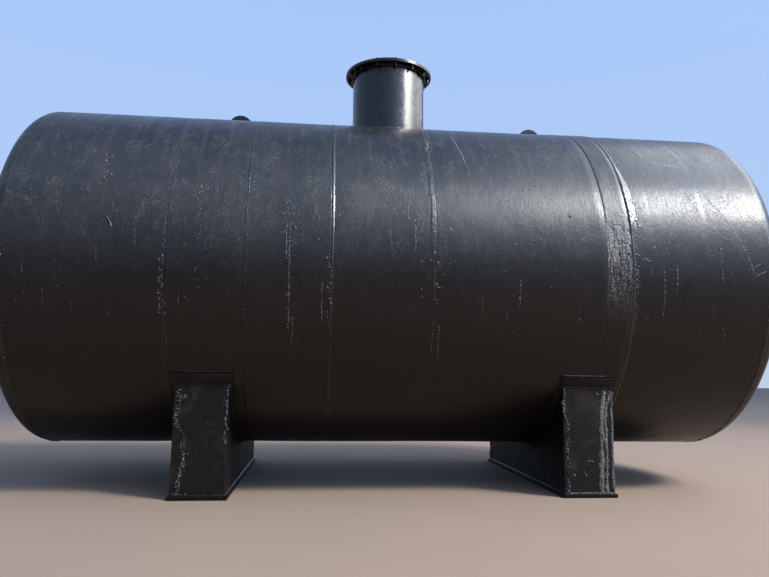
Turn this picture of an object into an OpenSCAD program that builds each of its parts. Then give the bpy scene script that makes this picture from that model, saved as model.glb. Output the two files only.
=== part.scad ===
// Horizontal cylindrical pressure tank on two box saddles.
// X runs along the tank, Z is up, and the origin is on the floor
// under the middle of the tank. All sizes are in millimetres.

/* [Shell] */
// Outside diameter of the rolled shell
tank_d = 2220; // [2000:10:2300]
// Wall thickness of the rolled shell plates
shell_t = 10; // [8:1:16]
// Length of the cylinder between the two head seams
shell_len = 4370; // [4200:10:4800]
// Height of the tank axis above the floor
axis_h = 1358; // [1330:1:1450]

/* [Ring seams] */
// First ring seam, measured from the middle of the tank
seam_1 = -1326; // [-1340:1:-1310]
// Second ring seam
seam_2 = -904; // [-920:1:-890]
// Third ring seam
seam_3 = -425; // [-440:1:-410]
// Fourth ring seam
seam_4 = 177; // [160:1:190]
// Fifth ring seam, covered by the joint band
seam_5 = 1260; // [1245:1:1275]
// Width of the band over the fifth seam
band_w = 153; // [120:1:200]
// Thickness of the band over the fifth seam
band_t = 5; // [4:1:8]

/* [Dished heads] */
// Outside crown radius of each dished head
crown_r = 2000; // [1700:10:2600]
// Outside knuckle radius where a head turns into the shell
knuckle_r = 100; // [60:5:200]
// Wall thickness of the heads
head_t = 10; // [8:1:16]

/* [Manway] */
// Outside diameter of the manway neck
neck_d = 530; // [450:5:600]
// Wall thickness of the neck
neck_t = 10; // [8:1:16]
// Height of the flange underside above the top of the shell
neck_h = 455; // [300:5:600]
// Outside diameter of the flange and its cover
flange_d = 640; // [620:5:760]
// Thickness of the flange ring
flange_t = 12; // [10:1:20]
// Thickness of the flat cover plate
cover_t = 10; // [8:1:20]
// How far the flat bottom of the neck lies under the top of the shell
neck_in = 60; // [50:5:90]

/* [Lifting lugs] */
// Distance of each lug from the middle of the tank
lug_x = 1085; // [900:5:1200]
// Radius of the round top of a lug
lug_r = 85; // [75:1:110]
// Height of the round top's centre above the shell
lug_c = 30; // [20:1:50]
// Height of the eye above the shell
eye_h = 48; // [45:1:55]
// Diameter of the eye
eye_d = 56; // [40:1:60]
// Thickness of the lug plate
lug_t = 20; // [14:1:30]

/* [Saddles] */
// Distance of each saddle from the middle of the tank
saddle_x = 1135; // [1000:5:1250]
// Width of a saddle box along the tank
box_w = 300; // [240:5:400]
// Length of a saddle box across the tank
box_len = 1720; // [1500:10:1800]
// Thickness of the box plates
plate_t = 12; // [8:1:20]
// Thickness of the base plate
base_t = 20; // [12:1:30]
// How far the base plate stands out around the box
base_lip = 15; // [8:1:40]
// Width of the curved wear plate along the tank
wear_w = 336; // [320:2:420]
// Thickness of the curved wear plate
wear_t = 10; // [6:1:14]
// Half angle of the wear plate, measured from straight down
wear_a = 54; // [52:1:65]

/* [Hidden] */

$fn = 180;
tank_r = tank_d / 2;
top_z = axis_h + tank_r;
seams = [-shell_len / 2, seam_1, seam_2, seam_3, seam_4, seam_5, shell_len / 2];
neck_r = neck_d / 2;
seat_r = tank_r + wear_t;
coat = "#1d2023";
band_coat = "#2b2d2e";
saddle_coat = "#26282b";
eps = 1;

// A solid cylinder on the tank axis from x0 to x1.
module on_axis(r, x0, x1) {
    translate([x0, 0, axis_h]) rotate([0, 90, 0]) cylinder(r = r, h = x1 - x0);
}

// One rolled ring of the shell, open at both ends.
module course(i) {
    color(coat) difference() {
        on_axis(tank_r, seams[i], seams[i + 1]);
        on_axis(tank_r - shell_t, seams[i] - eps, seams[i + 1] + eps);
        if (seams[i] < neck_r && seams[i + 1] > -neck_r)
            translate([0, 0, axis_h]) cylinder(r = neck_r, h = tank_r + 50);
    }
}

// Half of a dished head's cross section, filled down to the seam plane.
// R is its radius at the seam, k its knuckle radius and c its crown radius.
module head_fill(R, k, c) {
    a = asin((R - k) / (c - k));
    up = sqrt((c - k) * (c - k) - (R - k) * (R - k));
    union() {
        intersection() {
            translate([R - k, 0]) circle(r = k);
            square([R + eps, R]);
        }
        intersection() {
            translate([0, -up]) circle(r = c);
            polygon([[0, -up], [2 * c * sin(a), 2 * c * cos(a) - up], [0, 2 * c]]);
            square([R, R]);
        }
    }
}

module dished_head() {
    color(coat) rotate_extrude() difference() {
        head_fill(tank_r, knuckle_r, crown_r);
        head_fill(tank_r - head_t, knuckle_r - head_t, crown_r - head_t);
    }
}

module head_right() {
    translate([shell_len / 2, 0, axis_h]) rotate([0, 90, 0]) dished_head();
}
module head_left() {
    translate([-shell_len / 2, 0, axis_h]) rotate([0, -90, 0]) dished_head();
}

// A ring plate around the lower part of the shell, half angle a each side.
module saddle_arc(x, w, r0, r1, a) {
    intersection() {
        difference() {
            on_axis(r1, x - w / 2, x + w / 2);
            on_axis(r0, x - w / 2 - eps, x + w / 2 + eps);
        }
        translate([x - w / 2, 0, axis_h]) rotate([90, 0, 90])
            linear_extrude(height = w)
                polygon([[0, 0], [-2 * r1 * sin(a), -2 * r1 * cos(a)],
                         [-r1, -2 * r1], [r1, -2 * r1],
                         [2 * r1 * sin(a), -2 * r1 * cos(a)]]);
    }
}

// Band over the fifth seam, stopped against the edge of the wear plate.
module joint_band() {
    color(band_coat) difference() {
        on_axis(tank_r + band_t, seam_5 - band_w / 2, seam_5 + band_w / 2);
        on_axis(tank_r, seam_5 - band_w, seam_5 + band_w);
        translate([saddle_x - wear_w / 2, 0, axis_h]) rotate([90, 0, 90])
            linear_extrude(height = wear_w)
                polygon([[0, 0], [-2 * tank_r * sin(wear_a), -2 * tank_r * cos(wear_a)],
                         [-tank_r, -2 * tank_r], [tank_r, -2 * tank_r],
                         [2 * tank_r * sin(wear_a), -2 * tank_r * cos(wear_a)]]);
    }
}

module manway_neck() {
    color(coat) translate([0, 0, top_z - neck_in]) difference() {
        cylinder(r = neck_r, h = neck_in + neck_h + flange_t);
        translate([0, 0, -eps])
            cylinder(r = neck_r - neck_t, h = neck_in + neck_h + flange_t + 2 * eps);
    }
}
module manway_flange() {
    color(coat) translate([0, 0, top_z + neck_h]) difference() {
        cylinder(r = flange_d / 2, h = flange_t);
        translate([0, 0, -eps]) cylinder(r = neck_r, h = flange_t + 2 * eps);
    }
}
module manway_cover() {
    color(coat) translate([0, 0, top_z + neck_h + flange_t])
        cylinder(r = flange_d / 2, h = cover_t);
}

// Round-topped lug plate with one eye, cut to sit on the shell.
module lifting_lug(x) {
    color(coat) difference() {
        union() {
            translate([x, lug_t / 2, top_z + lug_c]) rotate([90, 0, 0])
                cylinder(r = lug_r, h = lug_t);
            translate([x - lug_r, -lug_t / 2, top_z - 5]) cube([2 * lug_r, lug_t, lug_c + 5]);
        }
        translate([x, lug_t / 2 + eps, top_z + eye_h]) rotate([90, 0, 0])
            cylinder(r = eye_d / 2, h = lug_t + 2 * eps);
        on_axis(tank_r, x - 2 * lug_r, x + 2 * lug_r);
    }
}

module base_plate(x) {
    color(saddle_coat)
        translate([x - box_w / 2 - base_lip, -box_len / 2 - base_lip, 0])
            cube([box_w + 2 * base_lip, box_len + 2 * base_lip, base_t]);
}

// Web plate across the tank; x is its lower X face.
module web(x) {
    color(saddle_coat) difference() {
        translate([x, -box_len / 2 + plate_t, base_t])
            cube([plate_t, box_len - 2 * plate_t, axis_h / 2]);
        on_axis(seat_r, x - eps, x + plate_t + eps);
    }
}

// End plate of a saddle box; side is -1 at the front and 1 at the back.
module end_plate(x, side) {
    color(saddle_coat) difference() {
        translate([x - box_w / 2, side < 0 ? -box_len / 2 : box_len / 2 - plate_t, base_t])
            cube([box_w, plate_t, axis_h / 2]);
        on_axis(seat_r, x - box_w, x + box_w);
    }
}

module wear_plate(x) {
    color(saddle_coat) saddle_arc(x, wear_w, tank_r, seat_r, wear_a);
}

course(0);  // shell_course_1
course(1);  // shell_course_2
course(2);  // shell_course_3
course(3);  // shell_course_4
course(4);  // shell_course_5
course(5);  // shell_course_6
joint_band();
head_left();
head_right();
manway_neck();
manway_flange();
manway_cover();
lifting_lug(-lug_x);  // lifting_lug_left
lifting_lug(lug_x);  // lifting_lug_right
base_plate(-saddle_x);  // left_base_plate
web(-saddle_x - box_w / 2);  // left_outer_web
web(-saddle_x + box_w / 2 - plate_t);  // left_inner_web
end_plate(-saddle_x, -1);  // left_front_plate
end_plate(-saddle_x, 1);  // left_back_plate
wear_plate(-saddle_x);  // left_wear_plate
base_plate(saddle_x);  // right_base_plate
web(saddle_x + box_w / 2 - plate_t);  // right_outer_web
web(saddle_x - box_w / 2);  // right_inner_web
end_plate(saddle_x, -1);  // right_front_plate
end_plate(saddle_x, 1);  // right_back_plate
wear_plate(saddle_x);  // right_wear_plate
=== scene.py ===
"""Looks of a horizontal pressure tank: black bitumen coat over welded steel."""

import math

import bmesh
import bpy
import numpy as np
from mathutils import Matrix, Vector


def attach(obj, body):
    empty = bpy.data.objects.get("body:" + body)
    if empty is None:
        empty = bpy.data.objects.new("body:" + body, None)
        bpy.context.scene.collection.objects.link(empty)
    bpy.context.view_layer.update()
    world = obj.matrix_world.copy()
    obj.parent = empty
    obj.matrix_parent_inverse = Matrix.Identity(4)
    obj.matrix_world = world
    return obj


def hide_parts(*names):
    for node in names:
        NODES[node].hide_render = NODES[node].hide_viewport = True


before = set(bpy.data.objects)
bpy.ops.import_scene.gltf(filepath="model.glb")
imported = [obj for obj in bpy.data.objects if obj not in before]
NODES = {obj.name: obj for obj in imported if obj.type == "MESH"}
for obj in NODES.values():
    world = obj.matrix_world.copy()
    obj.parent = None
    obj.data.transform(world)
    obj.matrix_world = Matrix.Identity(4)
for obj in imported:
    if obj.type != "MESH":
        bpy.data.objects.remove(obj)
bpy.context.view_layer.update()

# ---------------------------------------------------------------- sizes, in metres
R = 1.110            # outside radius of the shell
WALL = 0.010         # shell and head plate
AX = 1.358           # height of the tank axis
HALF = 2.185         # half of the cylinder between the head seams
SEAMS = [-2.185, -1.326, -0.904, -0.425, 0.177, 1.260, 2.185]
BAND = (1.1835, 1.3365)
BAND_T = 0.005
CROWN, KNUCKLE = 2.000, 0.100
NECK_R, FLANGE_R = 0.265, 0.320
TOP = AX + R
FLANGE_Z = TOP + 0.455
COVER_Z = FLANGE_Z + 0.012
COVER_TOP = COVER_Z + 0.010
LUG_X, LUG_R, LUG_T = 1.085, 0.085, 0.020
SADDLE_X, BOX_W, BOX_L = 1.135, 0.300, 1.720
WEAR_W, WEAR_T, WEAR_A = 0.336, 0.010, math.radians(54)
BASE_T, BASE_LIP = 0.020, 0.015
TAU = 2 * math.pi


# ---------------------------------------------------------------- camera
def make_camera():
    data = bpy.data.cameras.new("camera")
    data.sensor_fit = "HORIZONTAL"
    data.sensor_width = 36.0
    data.lens = 31.157
    data.clip_end = 400.0
    cam = bpy.data.objects.new("camera", data)
    right = Vector((0.99487, -0.10054, 0.01100)).normalized()
    forward = Vector((0.09822, 0.98637, 0.13204)).normalized()
    up = right.cross(forward).normalized()
    right = forward.cross(up).normalized()
    m = Matrix((right, up, -forward)).transposed().to_4x4()
    m.translation = Vector((-0.487, -4.768, 0.691))
    cam.matrix_world = m
    bpy.context.scene.collection.objects.link(cam)
    bpy.context.scene.camera = cam


# ---------------------------------------------------------------- node helper
class Tree:
    """A short way to write shader nodes."""

    def __init__(self, name):
        self.mat = bpy.data.materials.new(name)
        self.mat.use_nodes = True
        self.nt = self.mat.node_tree
        self.nt.nodes.clear()

    def node(self, kind, inputs=None, **props):
        n = self.nt.nodes.new(kind)
        for k, v in props.items():
            setattr(n, k, v)
        for k, v in (inputs or {}).items():
            self.put(n, k, v)
        return n

    def put(self, n, key, value):
        sock = n.inputs[key]
        if isinstance(value, bpy.types.NodeSocket):
            self.nt.links.new(value, sock)
        elif isinstance(value, bpy.types.Node):
            self.nt.links.new(value.outputs[0], sock)
        else:
            sock.default_value = value

    def math(self, op, a, b=None, c=None, clamp=False):
        n = self.node("ShaderNodeMath", operation=op, use_clamp=clamp)
        self.put(n, 0, a)
        if b is not None:
            self.put(n, 1, b)
        if c is not None:
            self.put(n, 2, c)
        return n.outputs[0]

    def smooth(self, value, low, high, to_low=0.0, to_high=1.0):
        n = self.node("ShaderNodeMapRange", interpolation_type="SMOOTHSTEP")
        self.put(n, "Value", value)
        for k, v in (("From Min", low), ("From Max", high), ("To Min", to_low), ("To Max", to_high)):
            n.inputs[k].default_value = v
        return n.outputs["Result"]

    def noise(self, vector, scale=1.0, detail=3.0, rough=0.55, distortion=0.0):
        n = self.node("ShaderNodeTexNoise", {"Vector": vector, "Scale": scale, "Detail": detail, "Roughness": rough, "Distortion": distortion})
        return n.outputs["Fac"]

    def scaled(self, vector, sx, sy, sz, ox=0.0, oy=0.0, oz=0.0):
        n = self.node("ShaderNodeVectorMath", {0: vector, 1: (sx, sy, sz), 2: (ox, oy, oz)}, operation="MULTIPLY_ADD")
        return n.outputs[0]

    def mix(self, fac, a, b):
        n = self.node("ShaderNodeMix", data_type="RGBA")
        self.put(n, "Factor", fac)
        ins = [s for s in n.inputs if s.type == "RGBA"]
        for s, v in zip(ins, (a, b)):
            if isinstance(v, bpy.types.NodeSocket):
                self.nt.links.new(v, s)
            else:
                s.default_value = (*v, 1.0) if len(v) == 3 else v
        return [s for s in n.outputs if s.type == "RGBA"][0]

    def out(self, shader):
        o = self.node("ShaderNodeOutputMaterial")
        self.nt.links.new(shader.outputs[0], o.inputs["Surface"])
        return self.mat


# ---------------------------------------------------------------- materials
def coat(name, mode="shell", dark=1.0, gloss=0.0, grain=1.0, dust=0.35, tangent=(1, 0, 0), aniso=0.5, lumps=1.0, grey=0.0, zone=False, brown=0.0, shine=0.5):
    """Black bitumen paint put on with a brush. grey adds a pale, dried film, which on specks and saddle ridges is also
    a painted highlight standing in for glints; zone puts a pale rough film on the lower part of a ring, partly a
    painted highlight for glints.
    """
    t = Tree(name)
    obj = t.node("ShaderNodeTexCoord").outputs["Object"]
    x, y, zr = t.node("ShaderNodeSeparateXYZ", {0: obj}).outputs
    z = t.math("SUBTRACT", zr, AX)
    ang = t.math("ARCTAN2", y, z)
    rad = t.math("SQRT", t.math("ADD", t.math("MULTIPLY", y, y), t.math("MULTIPLY", z, z)))
    un = t.node("ShaderNodeCombineXYZ", {0: x, 1: t.math("MULTIPLY", ang, R), 2: rad}).outputs[0]
    big = 1.0
    if mode == "shell":
        base = un
        stroke = t.scaled(un, 80.0, 7.5, 1.0)
        fine = t.scaled(un, 260.0, 26.0, 1.0, 3.1, 1.7, 0.0)
        run = t.scaled(un, 22.0, 1.3, 1.0, 7.7, 2.2, 0.0)
    elif mode == "head":
        pol = t.node("ShaderNodeCombineXYZ", {0: rad, 1: t.math("MULTIPLY", ang, 0.7), 2: x}).outputs[0]
        base = obj
        stroke = t.scaled(pol, 80.0, 7.0, 7.0)
        fine = t.scaled(pol, 260.0, 24.0, 24.0, 3.1, 1.7, 0.0)
        run = t.scaled(obj, 3.0, 22.0, 1.5, 7.7, 2.2, 0.0)
    elif mode == "neck":
        pol = t.node("ShaderNodeCombineXYZ", {0: t.math("MULTIPLY", t.math("ARCTAN2", y, x), NECK_R), 1: z, 2: 0.0}).outputs[0]
        base = obj
        big = 0.12
        stroke = t.scaled(pol, 9.0, 80.0, 1.0)
        fine = t.scaled(pol, 30.0, 260.0, 1.0, 3.1, 1.7, 0.0)
        run = t.scaled(pol, 26.0, 2.0, 1.0, 7.7, 2.2, 0.0)
    else:
        base = obj
        big = 0.25
        stroke = t.scaled(obj, 60.0, 60.0, 9.0)
        fine = t.scaled(obj, 210.0, 210.0, 30.0, 3.1, 1.7, 0.0)
        run = t.scaled(obj, 30.0, 30.0, 2.0, 7.7, 2.2, 0.0)
    n_stroke = t.noise(stroke, 1.0, 3.0, 0.6)
    n_fine = t.noise(fine, 1.0, 2.0, 0.6)
    n_run = t.noise(run, 1.0, 4.0, 0.6, 0.3)
    pk = 9.0 if mode == "plain" else 2.1
    n_patch = t.noise(t.scaled(base, pk, pk, pk, 4.0, 1.0, 2.0), 1.0, 5.0, 0.6, 0.6)
    n_cloud = t.noise(t.scaled(base, 0.8, 0.8, 0.8, 9.0, 5.0, 2.0), 1.0, 2.0, 0.5)
    n_mid = t.noise(t.scaled(base, 12.0, 8.0, 12.0, 1.0, 8.0, 2.0), 1.0, 4.0, 0.65)
    n_grain = t.noise(t.scaled(base, 105.0, 80.0, 105.0), 1.0, 3.0, 0.65)
    n_peel = t.noise(t.scaled(base, 330.0, 330.0, 330.0), 1.0, 2.0, 0.5)
    # colour: nearly black, darker and browner below as painted shade under the tank and a painted reflection of a warm
    # load bed, with a thin dried film where dust lies
    c = t.mix(t.smooth(n_patch, 0.38, 0.66), (0.0068 * dark, 0.0072 * dark, 0.0082 * dark), (0.0115 * dark, 0.0104 * dark, 0.0100 * dark))
    # painted shade and painted warm reflection: the lower part is darker and browner
    c = t.mix(t.smooth(z, 0.45, -0.05, 0.0, 0.95), c, (0.0054 * dark, 0.0030 * dark, 0.0020 * dark))
    c = t.mix(t.math("MULTIPLY", t.smooth(n_run, 0.48, 0.68), t.smooth(z, -0.10, 0.75, 0.05, 0.75)), c, (0.0235 * dark, 0.0190 * dark, 0.0165 * dark))
    if brown:
        c = t.mix(t.math("MULTIPLY", t.smooth(n_patch, 0.50, 0.66), brown), c, (0.0260, 0.0170, 0.0115))
    film = t.math("MULTIPLY", t.smooth(n_mid, 0.47, 0.70), t.smooth(n_grain, 0.46, 0.62))
    film = t.math("MULTIPLY", film, t.smooth(z, -0.25, 0.45, 0.02, 1.0))
    c = t.mix(t.math("MULTIPLY", film, dust), c, (0.105, 0.098, 0.088))
    dry_film_and_glint = None
    # pale dried film; on specks and saddle ridges it also stands in for glints as a painted highlight
    if grey:
        dry_film_and_glint = t.math("MULTIPLY", t.smooth(n_stroke, 0.33, 0.62, 0.25, 1.0), t.smooth(n_grain, 0.30, 0.62, 0.35, 1.0))
        dry_film_and_glint = t.math("MULTIPLY", dry_film_and_glint, grey)
    # the lower part of a ring: pale rough film, partly a painted highlight standing in for glints
    if zone:
        a = t.math("ABSOLUTE", ang)
        edge = t.math("ADD", a, t.math("MULTIPLY", t.math("SUBTRACT", n_run, 0.5), 0.22))
        low = t.math("MULTIPLY", t.smooth(edge, 1.20, 1.36), t.smooth(edge, 1.40, 1.92, 1.0, 0.0))
        dry_film_and_glint = t.math("MULTIPLY", low, t.math("MULTIPLY", t.smooth(n_stroke, 0.34, 0.62, 0.10, 1.0), t.smooth(n_grain, 0.42, 0.60, 0.05, 1.0)))
        dry_film_and_glint = t.math("MULTIPLY", dry_film_and_glint, t.smooth(n_run, 0.36, 0.56, 0.55, 1.25))
    if dry_film_and_glint is not None:
        c = t.mix(dry_film_and_glint, c, (0.160, 0.150, 0.136) if not zone else (0.190, 0.180, 0.167))
    # roughness: brushed, with glossier runs and duller patches
    rough = t.math("ADD", 0.270 - gloss, t.math("MULTIPLY", t.smooth(n_stroke, 0.25, 0.75), 0.07))
    rough = t.math("ADD", rough, t.math("MULTIPLY", t.smooth(n_patch, 0.35, 0.70), 0.08))
    rough = t.math("ADD", rough, t.math("MULTIPLY", t.smooth(n_grain, 0.35, 0.65), 0.09))
    rough = t.math("SUBTRACT", rough, t.math("MULTIPLY", t.smooth(n_run, 0.54, 0.74), 0.09))
    rough = t.math("ADD", rough, t.math("MULTIPLY", film, 0.16))
    if dry_film_and_glint is not None:
        rough = t.math("ADD", rough, t.math("MULTIPLY", dry_film_and_glint, 0.28), clamp=True)
    # relief, in metres
    h = t.math("MULTIPLY", n_cloud, 0.0060 * big)
    h = t.math("ADD", h, t.math("MULTIPLY", n_mid, 0.0024 * grain * (0.25 + 0.75 * big)))
    h = t.math("ADD", h, t.math("MULTIPLY", n_stroke, 0.00040 * grain))
    h = t.math("ADD", h, t.math("MULTIPLY", n_grain, 0.00062 * grain))
    h = t.math("ADD", h, t.math("MULTIPLY", n_fine, 0.00012 * grain))
    h = t.math("ADD", h, t.math("MULTIPLY", n_peel, 0.00005 * grain))
    if dry_film_and_glint is not None:
        h = t.math("ADD", h, t.math("MULTIPLY", dry_film_and_glint, 0.0004))
    vor = t.node("ShaderNodeTexVoronoi", {"Vector": t.scaled(base, 60.0, 46.0, 60.0), "Scale": 1.0, "Randomness": 1.0}, feature="F1")
    gate = t.smooth(t.node("ShaderNodeSeparateColor", {0: vor.outputs["Color"]}).outputs[0], 0.88, 0.96)
    dot = t.math("MULTIPLY", t.smooth(vor.outputs["Distance"], 0.05, 0.26, 1.0, 0.0), gate)
    h = t.math("ADD", h, t.math("MULTIPLY", dot, 0.0009 * lumps))
    bump = t.node("ShaderNodeBump", {"Strength": 1.0, "Distance": 1.0, "Height": h})
    b = t.node("ShaderNodeBsdfPrincipled", {"Base Color": c, "Roughness": rough, "Normal": bump.outputs[0], "IOR": 1.5, "Specular IOR Level": shine, "Anisotropic": aniso})
    if aniso:
        if mode == "head":
            t.put(b, "Tangent", t.node("ShaderNodeTangent", direction_type="RADIAL", axis="X").outputs[0])
            b.inputs["Anisotropic Rotation"].default_value = 0.25
        else:
            t.put(b, "Tangent", t.node("ShaderNodeCombineXYZ", {0: tangent[0], 1: tangent[1], 2: tangent[2]}).outputs[0])
    return t.out(b)


MAT = {
    "shell": coat("bitumen_shell", aniso=0.5, dust=0.3, shine=0.36),
    # band: its lower part carries a pale rough film that is partly a painted highlight for glints
    "band": coat("bitumen_band", aniso=0.3, zone=True, gloss=0.02, dust=0.3, shine=0.36),
    "head": coat("bitumen_head", mode="head", aniso=0.3, dust=0.3, shine=0.36),
    "cover": coat("bitumen_cover", mode="plain", aniso=0.0, gloss=0.12, dust=0.0, grain=0.5, dark=0.5, shine=0.5),
    "web": coat("bitumen_web", mode="plain", aniso=0.0, gloss=-0.25, dust=0.05, dark=0.4, shine=0.12),
    "neck": coat("bitumen_neck", mode="neck", gloss=0.16, tangent=(0, 0, 1), aniso=0.3, dust=0.0, grain=0.30, dark=0.55, shine=0.45),
    "flange": coat("bitumen_flange", mode="plain", aniso=0.0, gloss=0.09, dust=0.0, grain=0.5, dark=0.5, shine=0.36),
    "bolt": coat("bitumen_bolts", mode="plain", aniso=0.0, gloss=0.02, dust=0.05, grain=0.4, dark=0.6, shine=0.35),
    "lug": coat("bitumen_lug", mode="plain", aniso=0.0, gloss=-0.04, dust=0.0, dark=0.5, shine=0.24),
    "bead": coat("bitumen_bead", mode="plain", aniso=0.0, gloss=0.06, dust=0.2, grain=0.7),
    "ring": coat("bitumen_ring_bead", mode="plain", aniso=0.0, gloss=0.08, dust=0.15, grain=0.7, grey=0.03),
    "smear": coat("bitumen_smear", aniso=0.3, dust=0.5, grain=1.4, grey=0.24, shine=0.36),
    # speck: pale grit, partly a painted highlight standing in for glints on grit, runs and crumbs
    "speck": coat("bitumen_specks_pale_glint", mode="plain", aniso=0.0, gloss=0.05, dust=0.3, grain=0.4, grey=0.25),
    "scuff": coat("scuffed_film", mode="plain", aniso=0.0, gloss=-0.10, dust=0.5, grey=0.70),
    "saddle": coat("bitumen_saddle", mode="plain", aniso=0.0, gloss=-0.02, dust=0.18, brown=0.28, dark=0.60, grain=1.4, shine=0.24),
    # ridge: pale crust on the saddle ridges, partly a painted highlight for ridges catching low light
    "ridge": coat("ridges_dried_and_glint", mode="plain", aniso=0.0, gloss=-0.14, dust=0.6, grey=0.80, grain=1.6, shine=0.35),
    "sbead": coat("saddle_beads", mode="plain", aniso=0.0, gloss=0.04, dust=0.5, grey=0.40, grain=1.3),
}


# ---------------------------------------------------------------- mesh helpers
class Field:
    """Smooth random numbers from -1 to 1 on a grid that repeats both ways."""

    def __init__(self, seed, nu, nv):
        self.a = np.random.default_rng(seed).uniform(-1, 1, (nu, nv))

    def __call__(self, u, v):
        a = self.a
        nu, nv = a.shape
        u, v = np.broadcast_arrays(np.asarray(u, float), np.asarray(v, float))
        iu, iv = np.floor(u).astype(int), np.floor(v).astype(int)
        fu, fv = u - iu, v - iv
        su, sv = fu * fu * (3 - 2 * fu), fv * fv * (3 - 2 * fv)
        g = lambda i, j: a[i % nu, j % nv]
        lo = g(iu, iv) * (1 - su) + g(iu + 1, iv) * su
        hi = g(iu, iv + 1) * (1 - su) + g(iu + 1, iv + 1) * su
        return lo * (1 - sv) + hi * sv


def step(x, lo, hi):
    t = np.clip((x - lo) / (hi - lo), 0, 1)
    return t * t * (3 - 2 * t)


_wide, _tight, _fine = Field(11, 32, 18), Field(12, 64, 44), Field(13, 256, 256)


def dent(x, phi):
    """How far the rolled plates stand off the true cylinder."""
    v = np.asarray(phi) / TAU
    u = np.asarray(x) + HALF
    d = 0.0012 * _wide(u / 0.42, v * 18) + 0.00045 * _tight(u / 0.16, v * 44)
    for s in SEAMS[1:-1]:
        d = d - 0.0010 * np.exp(-((x - s) / 0.05) ** 2)
    return d * step(HALF - np.abs(x), 0.0, 0.12)


def on_shell(a, b, h):
    """a is x, b the arc length from the top line towards the front, h the height off the shell."""
    phi = b / R
    r = R + dent(a, phi) + h
    return np.stack(np.broadcast_arrays(a, -r * np.sin(phi), AX + r * np.cos(phi)), -1)


def on_front(xc, side):
    """Plane of a saddle's front (side -1) or back (side 1) plate: a is along x from the saddle's middle, b is z."""
    return lambda a, b, h: np.stack(np.broadcast_arrays(xc + a, side * (BOX_L / 2 + h), b), -1)


def on_web(xw, side):
    """Outer face of a web: a is y, b is z, side is the direction it faces along x."""
    return lambda a, b, h: np.stack(np.broadcast_arrays(xw + side * h, a, b), -1)


class Mesh:
    def __init__(self):
        self.v, self.f, self.n = [], [], 0

    def add(self, verts, faces):
        self.v.append(np.asarray(verts, float).reshape(-1, 3))
        self.f.extend([[i + self.n for i in f] for f in faces])
        self.n += len(self.v[-1])

    def grid(self, verts, wrap_i=False, wrap_j=False):
        """verts is (ni, nj, 3)."""
        ni, nj = verts.shape[:2]
        i = np.arange(ni if wrap_i else ni - 1)
        j = np.arange(nj if wrap_j else nj - 1)
        i, j = np.meshgrid(i, j, indexing="ij")
        k, m = (i + 1) % ni, (j + 1) % nj
        q = np.stack([i * nj + j, i * nj + m, k * nj + m, k * nj + j], -1).reshape(-1, 4) + self.n
        self.f.extend(q.tolist())
        self.v.append(verts.reshape(-1, 3))
        base = self.n
        self.n += ni * nj
        return base

    def finish(self, name, mat, slot, replaces=(), sharp=60, recalc=True):
        me = bpy.data.meshes.new(name)
        me.from_pydata(np.concatenate(self.v).tolist(), [], self.f)
        if recalc:
            bm = bmesh.new()
            bm.from_mesh(me)
            bmesh.ops.recalc_face_normals(bm, faces=bm.faces)
            bm.to_mesh(me)
            bm.free()
        me.polygons.foreach_set("use_smooth", [True] * len(me.polygons))
        if sharp:
            me.set_sharp_from_angle(angle=math.radians(sharp))
        me.validate()
        me.update()
        me.materials.append(mat)
        o = bpy.data.objects.new(name, me)
        bpy.context.scene.collection.objects.link(o)
        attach(o, "root")
        if replaces:
            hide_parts(*replaces)
        return o


def plate(mesh, outer, inner, keep, wrap):
    """A closed plate from two matching grids (ni, nj, 3); keep says which cells are there, wrap joins the j ends."""
    ni, nj = outer.shape[:2]
    base = mesh.n
    mesh.v += [outer.reshape(-1, 3), inner.reshape(-1, 3)]
    mesh.n += 2 * ni * nj
    ii, jj = np.nonzero(keep)
    k, m = ii + 1, (jj + 1) % nj
    q = np.stack([ii * nj + jj, ii * nj + m, k * nj + m, k * nj + jj], -1) + base
    mesh.f.extend(q.tolist())
    mesh.f.extend((q[:, ::-1] + ni * nj).tolist())
    ci, cj = keep.shape
    off = ni * nj
    for d, (di, dj) in enumerate(((-1, 0), (1, 0), (0, -1), (0, 1))):
        a, b = ii + di, jj + dj
        if wrap:
            b = b % cj
        inside = (a >= 0) & (a < ci) & (b >= 0) & (b < cj)
        there = np.zeros(len(ii), bool)
        there[inside] = keep[a[inside], b[inside]]
        for i, j in zip(ii[~there], jj[~there]):
            i2, j2 = i + 1, (j + 1) % nj
            e = ((i, j2, i, j), (i2, j, i2, j2), (i, j, i2, j), (i2, j2, i, j2))[d]
            p, r = e[0] * nj + e[1] + base, e[2] * nj + e[3] + base
            mesh.f.append([p, r, r + off, p + off])


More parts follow.
